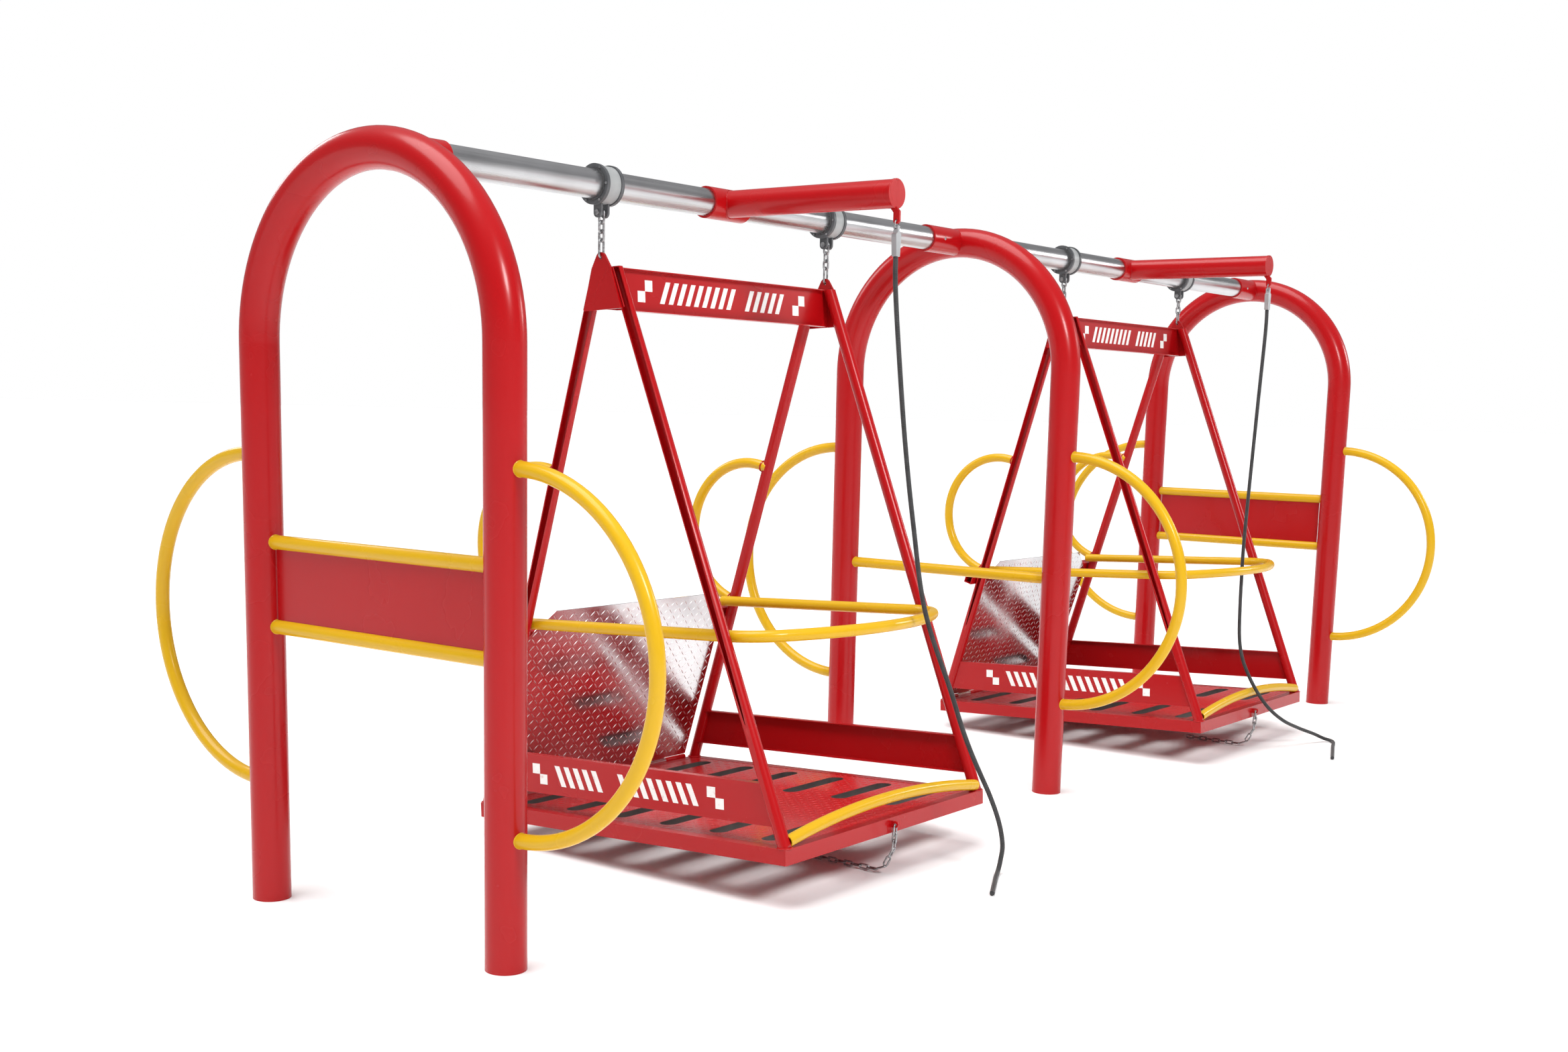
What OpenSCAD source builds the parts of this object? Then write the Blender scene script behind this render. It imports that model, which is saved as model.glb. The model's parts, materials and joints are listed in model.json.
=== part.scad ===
// Two-bay wheelchair platform swing set.
// X runs along the top beam, -Y is the side with the pull arms, +Y the ramp side, +Z is up.
// The origin is on the ground, midway between the outer arches.

/* [Frame] */
// Distance between neighbouring arches
bay_pitch = 2960; // [2900:10:3100]
// Height of the beam and of the arch tops, on the tube axis
beam_z = 2180; // [2175:1:2190]
// Distance from the middle plane to an arch leg, on the tube axis
leg_y = 515; // [510:1:520]
// Radius of the arch tubes
arch_r = 57.15; // [55:0.05:60]
// Radius of the beam tubes and the pull arms
beam_r = 44.45; // [42:0.05:44.6]

/* [Guard hoops and rails] */
// Radius of the yellow guard tubes
guard_r = 21.2; // [18:0.1:24]
// Bend radius of the guard hoops, on the tube axis
hoop_bend = 490; // [470:5:500]
// Height of the middle of the guard hoops
hoop_z = 855; // [840:5:870]
// Height of the upper rail of the end arches
end_rail_high = 1089; // [1070:1:1110]
// Height of the lower rail of the end arches
end_rail_low = 838; // [820:1:850]
// Height of the only rail of the middle arch
middle_rail_z = 860; // [840:1:880]

/* [Hangers] */
// Distance from the bay's middle to each hanger
hanger_x = 588; // [580:1:590]
// Height of the link wire that carries the swing's eyes
eye_z = 1961; // [1958:1:1962]
// How far the swing hangs out of level with its ramp folded up, in degrees
swing_tilt = 2.9; // [0:0.1:3.5]

/* [Platform] */
// Half of the platform's width
deck_x = 570; // [565:1:575]
// Half of the platform's length
deck_y = 670; // [665:1:672]
// Height of the platform's upper face when it hangs level
deck_top = 160.5; // [158:0.5:165]
// Depth of the platform's edge
deck_depth = 50; // [40:1:52]
// Radius of the swing's leg tubes
leg_r = 21.2; // [19:0.1:22]
// Radius of the yellow handrail tubes
rail_r = 19; // [16:0.5:20]
// Height of the handrail hoop
rail_z = 791; // [770:1:810]

/* [Ramp] */
// Length of the ramp plate from its hinge
ramp_len = 705; // [690:5:710]
// Half of the ramp plate's width
ramp_x = 520; // [500:1:522]
// Lean of the folded ramp towards the platform, in degrees from upright
ramp_lean = 19.9; // [19.5:0.1:20]

/* [Pull arms] */
// Distance from the beam's axis to the face of the arm's cap
arm_reach = 703; // [690:1:710]
// Radius of the pull ropes
rope_r = 8; // [6:0.5:8]

/* [Hidden] */
$fn = 64;
sides = [-1, 1];
arch_wall = 4.5;
beam_wall = 4;
tube_wall = 3;
foot_t = 6;
hoop_set = 45;                        // hoop centres stand this far outside the leg axes
arch_x = [-bay_pitch, 0, bay_pitch];
bay_x = [-bay_pitch / 2, bay_pitch / 2];
spring_z = beam_z - leg_y;            // where the arch legs end and the half circle starts

// Beam sockets and their screws
socket_r = 51.5;
socket_bore = 44.8;
socket_in = 30;                       // inner end, inside the arch tube's outline
socket_out = 245;
screw_at = 175;
screw_head_r = 6;

// Hanger bearings
bearing_r = 49.9;
bearing_half = 42;
running_gap = 0.06;
hub_r = 58;
hub_half = 26;
ring_r = 62;
ring_t = 12;
ring_bolts = 6;
lug_in = 11;
lug_t = 8;
lug_half = 16;
pin_z = beam_z - 83;
pin_r = 6;
link_wire = 3.6;
link_bend = 9.5;
link_step = 8;                        // wire centre to wire centre where two links hook
link_low = [pin_z - 33, pin_z - 61, pin_z - 87, eye_z];

// Gussets, legs and sign channel, all in the level swing's frame
gusset_t = 8;
eye_r = 5.6;
gusset_low = 1802;
leg_top = [hanger_x - gusset_t / 2 - leg_r - 0.3, 36, 1934];
leg_foot = [549, 652, deck_top];
leg_spare = 0.03;                     // share of its length that a leg rod runs on before it is cut
sign_z = [1802, 1933];
sign_web_y = -10;
sign_t = 3;
sign_flange = 24;

// Platform details
deck_low = deck_top - deck_depth;
deck_band = 40;
plate_t = 5;
slot_len = 326;
slot_w = 65;
slot_mid_x = 327.5;
slot_pitch = 212;
slot_rows = 6;
joist_t = 8;
kick_z = [222, 352];
kick_web = 555;
kick_flange = 25;
kick_t = 3;
stop_y = -655;
stop_z = deck_top + rail_r + 0.5;
stop_rise = 45;
stop_half = 540;
stop_bend = (stop_half * stop_half + stop_rise * stop_rise) / (2 * stop_rise);

// Handrail hoop and grab loops
rail_x = 513;
rail_back = 455;
rail_front = 400;
rail_bow = 275;
rail_corner = 190;
weld_gap = 0.05;                      // half the seam between two of the hoop's tubes
// The front of the hoop is a flat arc that runs smoothly into two tighter corner arcs
bow_side = rail_x - rail_corner;
bow_bend = (rail_bow * rail_bow + bow_side * bow_side - rail_corner * rail_corner)
           / (2 * (rail_bow - rail_corner));
bow_angle = asin(bow_side / (bow_bend - rail_corner));
grab_x = 552.5;                        // clear of the handrail hoop beside it
grab_mid = [360, 1050];
grab_bend = 267;
grab_arc = [-76, 112.5];               // from below the rear leg's far side, over the top, back to the leg

// Ramp hinge and ramp
hinge_y = deck_y + 12;
hinge_z = deck_top + 2;
hinge_r = 5;
hinge_gap = 0.08;
knuckle_r = 10;
knuckle_count = 9;
knuckle_slack = 0.5;
ramp_t = 3;
ramp_root = 14;                       // where the plate starts above the hinge axis
ramp_chamfer = [120, 100];
bar_size = 38;
bar_half = 600;
bar_from = 600;                       // height of the cross bar along the folded ramp

// Tie-down chain under the platform's front edge
tie_lug_y = -(deck_y + 14);
tie_lug_z = deck_low + 28;
tie_wire = 3;
tie_bend = 7;
tie_len = 24;                         // straight part of a link
tie_pitch = tie_len + 2 * tie_bend - 2 * tie_wire - 1;

// Pull arm tip
arm_sleeve_r = 52;
arm_sleeve_half = 95;
cap_t = 8;
cap_r = 46;
hook_t = 9;
hook_slot = 10;
hook_y = -(arm_reach + 2);
hook_hole_z = beam_z - 82;
hook_bar = 22;
snap_wire = 2;
snap_half = 9;
snap_low = beam_z - 106;
terminal_top = beam_z - 98;
terminal_low = beam_z - 192;
terminal_x = [14, 10];
terminal_y = 9;

// Routes of the two pull ropes, from the terminal to the free end on the ground
rope_floor = rope_r + 0.5;
rope_routes = [
    [[-1480, hook_y, terminal_low], [-1478, -706, 1900], [-1460, -712, 1720],
     [-1432, -730, 1420], [-1409, -758, 1150], [-1386, -800, 870],
     [-1348, -885, 615], [-1330, -925, 490], [-1305, -958, 390],
     [-1265, -998, 272], [-1236, -1020, 180], [-1210, -1022, 100],
     [-1205, -1014, 45], [-1225, -1018, rope_floor + 5], [-1270, -1038, rope_floor],
     [-1340, -1074, rope_floor], [-1400, -1105, rope_floor], [-1458, -1135, rope_floor]],
    [[1480, hook_y, terminal_low], [1481, -704, 1880], [1482, -690, 1580],
     [1480, -672, 1131], [1478, -666, 909], [1476, -667, 776],
     [1468, -672, 643], [1459, -682, 510], [1450, -705, 420],
     [1448, -740, 345], [1456, -782, 272], [1490, -828, 197],
     [1570, -869, 133], [1690, -897, 85], [1810, -930, 44],
     [1868, -958, 18], [1882, -990, rope_floor], [1840, -1018, rope_floor],
     [1745, -1050, rope_floor], [1629, -1092, rope_floor], [1476, -1147, rope_floor]]
];
rope_sides = 10;
rope_steps = 2;

// ---------- shared shapes ----------

// A tube or rod between two points
module rod(a, b, r) {
    d = b - a;
    translate(a)
        rotate([0, acos(d[2] / norm(d)), atan2(d[1], d[0])])
            cylinder(h = norm(d), r = r);
}

// Tubes and rods along one axis, centred on the origin
module tube_z(half, r, bore) {
    difference() {
        cylinder(h = 2 * half, r = r, center = true);
        cylinder(h = 2 * half + 1, r = bore, center = true);
    }
}

module tube_x(half, r, bore) {
    rotate([0, 90, 0])
        tube_z(half, r, bore);
}

module rod_x(half, r) {
    rotate([0, 90, 0])
        cylinder(h = 2 * half, r = r, center = true);
}

module rod_y(half, r) {
    rotate([90, 0, 0])
        cylinder(h = 2 * half, r = r, center = true);
}

// Mirrors its children to the -Y side when s is -1
module flip_y(s) {
    mirror([0, s < 0 ? 1 : 0, 0])
        children();
}

// Mirrors its children to the -X side when s is -1
module flip_x(s) {
    mirror([s < 0 ? 1 : 0, 0, 0])
        children();
}

// The angle at which a bent tube stops short of its neighbour
function seam(bend) = weld_gap / bend * 180 / PI;

// A hollow tube bent through an angle in the X-Y plane, from the X axis on
module bend_tube(angle, bend, r) {
    rotate_extrude(angle = angle)
        translate([bend, 0])
            difference() {
                circle(r = r);
                circle(r = r - tube_wall);
            }
}

// The two straight legs of an arch, as solid rods
module leg_rods(r) {
    for (s = sides)
        translate([0, s * leg_y, 0])
            cylinder(h = spring_z, r = r);
}

// The half circle on top of an arch, as a solid rod
module crown_rod(r) {
    translate([0, 0, spring_z])
        rotate([90, 0, 90])
            rotate_extrude(angle = 180)
                translate([leg_y, 0])
                    circle(r = r);
}

// A chain link in the X-Z plane, between the wire centres at heights low and high
module link(low, high, bend, wire) {
    for (s = sides)
        translate([s * bend, 0, low + bend])
            cylinder(h = high - low - 2 * bend, r = wire);
    for (end = [0, 1])
        translate([0, 0, end ? high - bend : low + bend])
            mirror([0, 0, 1 - end])
                rotate([90, 0, 0])
                    rotate_extrude(angle = 180)
                        translate([bend, 0])
                            circle(r = wire);
}

// Puts its children into a bay whose swing hangs out of level
module hung(bay) {
    translate([bay_x[bay], 0, eye_z])
        rotate([-swing_tilt, 0, 0])
            translate([0, 0, -eye_z])
                children();
}

// ---------- arches, guards and rails ----------

module arch(i) {
    color("firebrick")
        translate([arch_x[i], 0, 0])
            difference() {
                union() {
                    translate([0, 0, foot_t])
                        for (s = sides)
                            translate([0, s * leg_y, 0])
                                cylinder(h = spring_z - foot_t, r = arch_r);
                    crown_rod(arch_r);
                }
                leg_rods(arch_r - arch_wall);
                crown_rod(arch_r - arch_wall);
            }
}

module foot_plates() {
    color("firebrick")
        for (x = arch_x, s = sides)
            translate([x, s * leg_y, 0])
                cylinder(h = foot_t, r = arch_r);
}

module guard_hoops(i) {
    color("gold")
        translate([arch_x[i], 0, 0])
            for (s = sides)
                flip_y(s)
                    difference() {
                        translate([0, leg_y + hoop_set, hoop_z])
                            rotate([0, -90, 0])
                                bend_tube(180, hoop_bend, guard_r);
                        translate([0, leg_y, 0])
                            cylinder(h = spring_z, r = arch_r);
                    }
}

module cross_rail(z) {
    difference() {
        translate([0, 0, z])
            difference() {
                rod_y(leg_y, guard_r);
                rod_y(leg_y + 1, guard_r - tube_wall);
            }
        leg_rods(arch_r);
    }
}

module end_rails() {
    color("gold")
        for (i = [0, 2], z = [end_rail_high, end_rail_low])
            translate([arch_x[i], 0, 0])
                cross_rail(z);
}

module middle_rail() {
    color("gold")
        cross_rail(middle_rail_z);
}

module end_panels() {
    low = end_rail_low + guard_r;
    color("firebrick")
        for (i = [0, 2])
            translate([arch_x[i] - 2, -452, low])
                cube([4, 904, end_rail_high - guard_r - low]);
}

// ---------- beam, sockets and bearings ----------

module beam(bay) {
    color("silver")
        translate([bay_x[bay], 0, beam_z])
            tube_x(bay_pitch / 2 - arch_r - 1, beam_r, beam_r - beam_wall);
}

// Each socket as [x of its arch, direction it points in]
socket_places = [[arch_x[0], 1], [arch_x[1], -1], [arch_x[1], 1], [arch_x[2], -1]];

module beam_sockets() {
    color("firebrick")
        for (place = socket_places)
            translate([place[0], 0, 0])
                difference() {
                    translate([place[1] * (socket_in + socket_out) / 2, 0, beam_z])
                        tube_x((socket_out - socket_in) / 2, socket_r, socket_bore);
                    crown_rod(arch_r);
                    translate([place[1] * screw_at, 0, beam_z])
                        rod_y(socket_r + 2, 3.2);
                }
}

module socket_screws() {
    color("silver")
        for (place = socket_places, s = sides)
            translate([place[0] + place[1] * screw_at, s * socket_r, beam_z])
                rotate([-90 * s, 0, 0]) {
                    cylinder(h = 3, r1 = screw_head_r, r2 = 4);
                    translate([0, 0, -6])
                        cylinder(h = 6, r = 3.1);
                }
}

module bearing_sleeves() {
    color("dimgray")
        for (x = bay_x, s = sides)
            translate([x + s * hanger_x, 0, beam_z])
                tube_x(bearing_half, bearing_r, beam_r + 0.1);
}

// ---------- hangers ----------

module at_hangers(bay) {
    for (s = sides)
        translate([bay_x[bay] + s * hanger_x, 0, 0])
            children();
}

module ring_bolt_places() {
    for (i = [0 : ring_bolts - 1])
        rotate([i * 360 / ring_bolts + 30, 0, 0])
            translate([0, 0, 55.5])
                children();
}

module hanger_hubs(bay) {
    color("darkgray")
        at_hangers(bay)
            translate([0, 0, beam_z])
                tube_x(hub_half, hub_r, bearing_r + running_gap);
}

module hanger_rings(bay) {
    color("dimgray")
        at_hangers(bay) {
            for (s = sides)
                translate([s * (hub_half + ring_t / 2), 0, beam_z])
                    difference() {
                        tube_x(ring_t / 2, ring_r, bearing_r + running_gap);
                        ring_bolt_places()
                            rod_x(ring_t, 2.6);
                    }
            for (s = sides)
                difference() {
                    translate([s * (lug_in + lug_t / 2), 0, 0])
                        rotate([0, 90, 0])
                            linear_extrude(lug_t, center = true)
                                union() {
                                    translate([-pin_z, 0])
                                        circle(r = lug_half);
                                    translate([-beam_z + 40, -lug_half])
                                        square([beam_z - 40 - pin_z, 2 * lug_half]);
                                }
                    translate([0, 0, beam_z])
                        rod_x(hanger_x, hub_r);
                    translate([0, 0, pin_z])
                        rod_x(hanger_x, pin_r + 0.1);
                }
        }
}

module hanger_bolts(bay) {
    color("silver")
        at_hangers(bay) {
            for (s = sides)
                translate([s * (hub_half + ring_t), 0, beam_z])
                    ring_bolt_places() {
                        translate([s * 1.5, 0, 0])
                            rod_x(1.5, 4);
                        translate([-s * ring_t / 2, 0, 0])
                            rod_x(ring_t / 2, 2.5);
                    }
            translate([0, 0, pin_z])
                rod_x(lug_in + lug_t, pin_r);
            for (s = sides)
                translate([s * (lug_in + lug_t + 2.5), 0, pin_z])
                    rod_x(2.5, 9);
        }
}

module hanger_chains(bay) {
    tops = [pin_z + pin_r + link_wire + 0.3,
            link_low[0] + link_step, link_low[1] + link_step, link_low[2] + link_step];
    color("silver")
        at_hangers(bay)
            for (i = [0 : 3])
                rotate([0, 0, i % 2 == 0 ? 90 : 0])
                    link(link_low[i], tops[i], i == 0 ? pin_r + link_wire + 0.3 : link_bend, link_wire);
}

// ---------- swing frame ----------

module gussets(bay) {
    color("firebrick")
        hung(bay)
            for (s = sides)
                translate([s * hanger_x, 0, 0])
                    rotate([90, 0, 90])
                        linear_extrude(gusset_t, center = true)
                            difference() {
                                union() {
                                    polygon([[-80, gusset_low], [-40, 1930], [-18.5, 1966],
                                             [18.5, 1966], [40, 1930], [80, gusset_low]]);
                                    translate([0, eye_z - 3])
                                        circle(r = 20);
                                }
                                translate([0, eye_z])
                                    circle(r = eye_r);
                            }
}

// The four leg rods of a swing, as solid rods longer than the legs
module leg_axes(r) {
    run = leg_foot - leg_top;
    for (sx = sides, sy = sides)
        flip_x(sx)
            flip_y(sy)
                rod(leg_top - run * leg_spare, leg_foot + run * leg_spare, r);
}

module a_frames(bay) {
    color("firebrick")
        hung(bay)
            intersection() {
                difference() {
                    leg_axes(leg_r);
                    intersection() {
                        leg_axes(leg_r - tube_wall);
                        translate([0, 0, leg_top[2] - 4 - 1000])
                            cube([4 * deck_x, 4 * deck_y, 2000], center = true);
                    }
                }
                translate([-deck_x, -deck_y, deck_top])
                    cube([2 * deck_x, 2 * deck_y, leg_top[2] - deck_top]);
            }
}

module sign_channel(bay) {
    web_half = hanger_x - gusset_t / 2;
    flange_half = 538;
    color("firebrick")
        hung(bay) {
            translate([-web_half, sign_web_y - sign_t, sign_z[0]])
                cube([2 * web_half, sign_t, sign_z[1] - sign_z[0]]);
            for (z = [sign_z[0], sign_z[1] - sign_t])
                translate([-flange_half, sign_web_y - sign_flange, z])
                    cube([2 * flange_half, sign_flange - sign_t, sign_t]);
        }
}

// ---------- platform ----------

module deck_frame(bay) {
    inner_x = deck_x - deck_band;
    inner_y = deck_y - deck_band;
    color("firebrick")
        hung(bay) {
            difference() {
                translate([-deck_x, -deck_y, deck_low])
                    cube([2 * deck_x, 2 * deck_y, deck_depth]);
                translate([-inner_x, -inner_y, deck_low - 1])
                    cube([2 * inner_x, 2 * inner_y, deck_depth + 2]);
                translate([-deck_x + plate_t, -deck_y + plate_t, deck_low + plate_t])
                    cube([2 * (deck_x - plate_t), 2 * (deck_y - plate_t), deck_depth - 2 * plate_t]);
            }
            for (y = [-2 * slot_pitch, 0, 2 * slot_pitch])
                translate([-inner_x, y - joist_t / 2, deck_low])
                    cube([2 * inner_x, joist_t, deck_depth - plate_t - 1]);
        }
}

module deck_plate(bay) {
    half_x = deck_x - deck_band - 0.5;
    half_y = deck_y - deck_band - 0.5;
    color("indianred")
        hung(bay)
            translate([0, 0, deck_top - plate_t - 1])
                linear_extrude(plate_t)
                    difference() {
                        square([2 * half_x, 2 * half_y], center = true);
                        for (sx = sides, row = [0 : slot_rows - 1])
                            translate([sx * slot_mid_x, (row - (slot_rows - 1) / 2) * slot_pitch]) {
                                square([slot_len - slot_w, slot_w], center = true);
                                for (s = sides)
                                    translate([s * (slot_len - slot_w) / 2, 0])
                                        circle(r = slot_w / 2);
                            }
                    }
}

module kick_boards(bay) {
    color("firebrick")
        hung(bay)
            difference() {
                for (s = sides)
                    flip_x(s)
                        translate([kick_web, 0, 0]) {
                            translate([-kick_t, -deck_y + 40, kick_z[0]])
                                cube([kick_t, 2 * (deck_y - 40), kick_z[1] - kick_z[0]]);
                            for (z = [kick_z[0], kick_z[1] - kick_t])
                                translate([-kick_flange, -deck_y + 40, z])
                                    cube([kick_flange - kick_t, 2 * (deck_y - 40), kick_t]);
                        }
                leg_axes(leg_r);
                // the parts of the boards beyond the slanted legs
                for (s = sides)
                    flip_y(s)
                        rotate([90, 0, 90])
                            linear_extrude(3 * deck_x, center = true)
                                polygon([[652, 160], [900, 160], [900, 400], [569, 400]]);
            }
}

module wheel_stop(bay) {
    half_angle = asin(stop_half / stop_bend);
    color("gold")
        hung(bay)
            difference() {
                translate([0, stop_y, stop_z + stop_rise - stop_bend])
                    rotate([90, 0, 0])
                        rotate([0, 0, 90 - half_angle])
                            bend_tube(2 * half_angle, stop_bend, rail_r);
                leg_axes(leg_r);
                for (s = sides)
                    translate([s * (leg_foot[0] + 50), stop_y, stop_z])
                        cube([100, 100, 200], center = true);
                translate([0, stop_y, deck_top - 50])
                    cube([2 * deck_x, 100, 100], center = true);
            }
}

// ---------- handrails ----------

module hoop_rail(bay) {
    color("gold")
        hung(bay)
            translate([0, 0, rail_z])
                for (s = sides)
                    flip_x(s) {
                        translate([rail_x, (rail_back - rail_front) / 2, 0])
                            rotate([90, 0, 0])
                                tube_z((rail_back + rail_front) / 2, rail_r, rail_r - tube_wall);
                        translate([rail_x - rail_corner, -rail_front, 0])
                            rotate([0, 0, bow_angle - 90 + seam(rail_corner)])
                                bend_tube(90 - bow_angle - 2 * seam(rail_corner), rail_corner, rail_r);
                        translate([0, bow_bend - rail_front - rail_bow, 0])
                            rotate([0, 0, seam(bow_bend) - 90])
                                bend_tube(bow_angle - 2 * seam(bow_bend), bow_bend, rail_r);
                    }
}

module grab_loops(bay) {
    color("gold")
        hung(bay)
            for (s = sides)
                difference() {
                    translate([s * grab_x, grab_mid[0], grab_mid[1]])
                        rotate([90, 0, 90])
                            rotate([0, 0, grab_arc[0]])
                                bend_tube(grab_arc[1] - grab_arc[0], grab_bend, rail_r);
                    leg_axes(leg_r);
                }
}

// ---------- ramp ----------

// The ramp's own frame: origin on the hinge axis, +Z up the folded plate
module ramp_frame() {
    translate([0, hinge_y, hinge_z])
        rotate([ramp_lean, 0, 0])
            children();
}

knuckle_len = 2 * ramp_x / knuckle_count;

module knuckle(i) {
    translate([-ramp_x + (i + 0.5) * knuckle_len, 0, 0])
        difference() {
            rod_x(knuckle_len / 2 - knuckle_slack, knuckle_r);
            rod_x(knuckle_len, hinge_r + hinge_gap);
        }
}

// Fixed knuckles on the platform's rear edge, and the hinge rod through all knuckles
module ramp_hinge(bay) {
    color("firebrick")
        hung(bay) {
            for (i = [0 : 2 : knuckle_count - 1])
                translate([0, hinge_y, hinge_z])
                    knuckle(i);
            for (i = [0 : 2 : knuckle_count - 1])
                translate([-ramp_x + i * knuckle_len + 8, deck_y, hinge_z - knuckle_r - 2])
                    cube([knuckle_len - 16, hinge_y - deck_y, 3.5]);
        }
    color("silver")
        hung(bay)
            translate([0, hinge_y, hinge_z])
                rod_x(ramp_x + 4, hinge_r);
}

module ramp_plate(bay) {
    color("lightgray")
        hung(bay)
            ramp_frame() {
                for (i = [1 : 2 : knuckle_count - 1])
                    knuckle(i);
                for (i = [1 : 2 : knuckle_count - 1])
                    translate([-ramp_x + i * knuckle_len + 8, -ramp_t / 2, knuckle_r - 1.5])
                        cube([knuckle_len - 16, ramp_t, ramp_root - knuckle_r + 2]);
                translate([0, ramp_t / 2, 0])
                    rotate([90, 0, 0])
                        linear_extrude(ramp_t)
                            polygon([[-ramp_x, ramp_root], [ramp_x, ramp_root],
                                     [ramp_x, ramp_len - ramp_chamfer[1]],
                                     [ramp_x - ramp_chamfer[0], ramp_len],
                                     [ramp_chamfer[0] - ramp_x, ramp_len],
                                     [-ramp_x, ramp_len - ramp_chamfer[1]]]);
            }
}

module ramp_bar(bay) {
    color("firebrick")
        hung(bay)
            ramp_frame()
                translate([-bar_half, ramp_t / 2, bar_from])
                    difference() {
                        cube([2 * bar_half, bar_size, bar_size]);
                        translate([-1, tube_wall, tube_wall])
                            cube([2 * bar_half + 2, bar_size - 2 * tube_wall, bar_size - 2 * tube_wall]);
                    }
}

// ---------- tie-down chain ----------

module tie_lug(bay) {
    color("firebrick")
        hung(bay)
            translate([0, tie_lug_y, tie_lug_z])
                rotate([90, 0, 90])
                    linear_extrude(6, center = true)
                        difference() {
                            union() {
                                circle(r = 11);
                                translate([0, -11])
                                    square([-tie_lug_y - deck_y, 22]);
                            }
                            circle(r = 5.5);
                        }
}

// The chain's links, from the lug down to the ground and back under the platform
tie_route = [[-774.9, 168.4], [-770, 90], [-734, 26], [-700, 12.5], [-440, 12.5]];

module tie_chain(bay) {
    color("silver")
        translate([bay_x[bay], 0, 0])
            for (leg = [0 : len(tie_route) - 2]) {
                a = tie_route[leg];
                b = tie_route[leg + 1];
                run = norm(b - a);
                count = max(1, round(run / tie_pitch));
                for (i = [0 : count - 1])
                    translate([0, a[0] + (b[0] - a[0]) * i / count, a[1] + (b[1] - a[1]) * i / count])
                        rotate([atan2(b[0] - a[0], a[1] - b[1]), 0, 0])
                            rotate([0, 0, i % 2 == 0 ? 0 : 90])
                                link(-tie_len - tie_bend, tie_bend, tie_bend, tie_wire);
            }
}

// ---------- pull arms and ropes ----------

module pull_arm(bay) {
    color("firebrick")
        translate([bay_x[bay], 0, beam_z])
            difference() {
                union() {
                    rod_x(arm_sleeve_half, arm_sleeve_r);
                    translate([0, -(arm_reach - cap_t) / 2, 0])
                        rod_y((arm_reach - cap_t) / 2, beam_r);
                    translate([0, -arm_reach + cap_t / 2, 0])
                        rod_y(cap_t / 2, cap_r);
                }
                rod_x(arm_sleeve_half + 1, socket_bore);
                translate([0, -(arm_reach - cap_t + arm_sleeve_r) / 2, 0])
                    rod_y((arm_reach - cap_t - arm_sleeve_r) / 2, beam_r - beam_wall);
                translate([-hook_slot / 2, -arm_reach - 1, -100])
                    cube([hook_slot, 34, 141]);
            }
}

module arm_hooks() {
    color("firebrick")
        for (x = bay_x)
            translate([x, 0, 0])
                rotate([90, 0, 90])
                    linear_extrude(hook_t, center = true)
                        difference() {
                            union() {
                                polygon([[-671, beam_z + 40], [-arm_reach, beam_z + 40],
                                         [-arm_reach, beam_z - 40], [hook_y - hook_bar / 2, beam_z - 54],
                                         [hook_y - hook_bar / 2, hook_hole_z],
                                         [hook_y + hook_bar / 2, hook_hole_z],
                                         [hook_y + hook_bar / 2, beam_z - 58], [-671, beam_z - 30]]);
                                translate([hook_y, hook_hole_z])
                                    circle(r = hook_bar / 2);
                            }
                            translate([hook_y, hook_hole_z])
                                circle(r = 4);
                        }
}

module rope_snaps() {
    color("silver")
        for (x = bay_x)
            translate([x, hook_y, 0])
                link(snap_low, hook_hole_z + 1, snap_half, snap_wire);
}

module rope_terminals() {
    color("silver")
        for (x = bay_x)
            translate([x, hook_y, 0])
                difference() {
                    intersection() {
                        rotate([90, 0, 0])
                            linear_extrude(2 * terminal_y + 2, center = true)
                                polygon([[-terminal_x[1], terminal_low], [terminal_x[1], terminal_low],
                                         [terminal_x[0], terminal_top - 34], [terminal_x[0], terminal_top - 26],
                                         [5, terminal_top - 20], [5, terminal_top],
                                         [-5, terminal_top], [-5, terminal_top - 20],
                                         [-terminal_x[0], terminal_top - 26], [-terminal_x[0], terminal_top - 34]]);
                        translate([0, 0, terminal_low])
                            linear_extrude(terminal_top - terminal_low)
                                square([2 * terminal_x[0], 2 * terminal_y], center = true);
                    }
                    translate([0, 0, snap_low + 0.5])
                        rod_x(8, 3.2);
                }
}

// One point of a Catmull-Rom curve through the route's points
function on_curve(p, i, t) =
    let (a = p[max(i - 1, 0)], b = p[i], c = p[i + 1], d = p[min(i + 2, len(p) - 1)])
    0.5 * (2 * b + (c - a) * t + (2 * a - 5 * b + 4 * c - d) * t * t
           + (3 * b - a - 3 * c + d) * t * t * t);

function smooth_route(p) = [
    for (i = [0 : len(p) - 2], k = [0 : rope_steps - 1]) on_curve(p, i, k / rope_steps),
    p[len(p) - 1]
];

function unit(v) = v / norm(v);

// A round solid swept along a list of points; its rings stay square to the route
module sweep(route, r, n) {
    last = len(route) - 1;
    points = [
        for (i = [0 : last])
            let (along = unit(route[min(i + 1, last)] - route[max(i - 1, 0)]),
                 side = unit(cross(along, abs(along[0]) > 0.9 ? [0, 0, 1] : [1, 0, 0])),
                 up = cross(side, along))
            for (k = [0 : n - 1])
                route[i] + r * (side * cos(360 * k / n) + up * sin(360 * k / n))
    ];
    faces = concat(
        [[for (k = [0 : n - 1]) k]],
        [for (i = [0 : last - 1], k = [0 : n - 1])
            [i * n + k, (i + 1) * n + k, (i + 1) * n + (k + 1) % n, i * n + (k + 1) % n]],
        [[for (k = [n - 1 : -1 : 0]) last * n + k]]
    );
    polyhedron(points, faces, convexity = 6);
}

module pull_rope(bay) {
    color("black")
        sweep(smooth_route(rope_routes[bay]), rope_r, rope_sides);
}

// ---------- the nodes ----------

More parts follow.
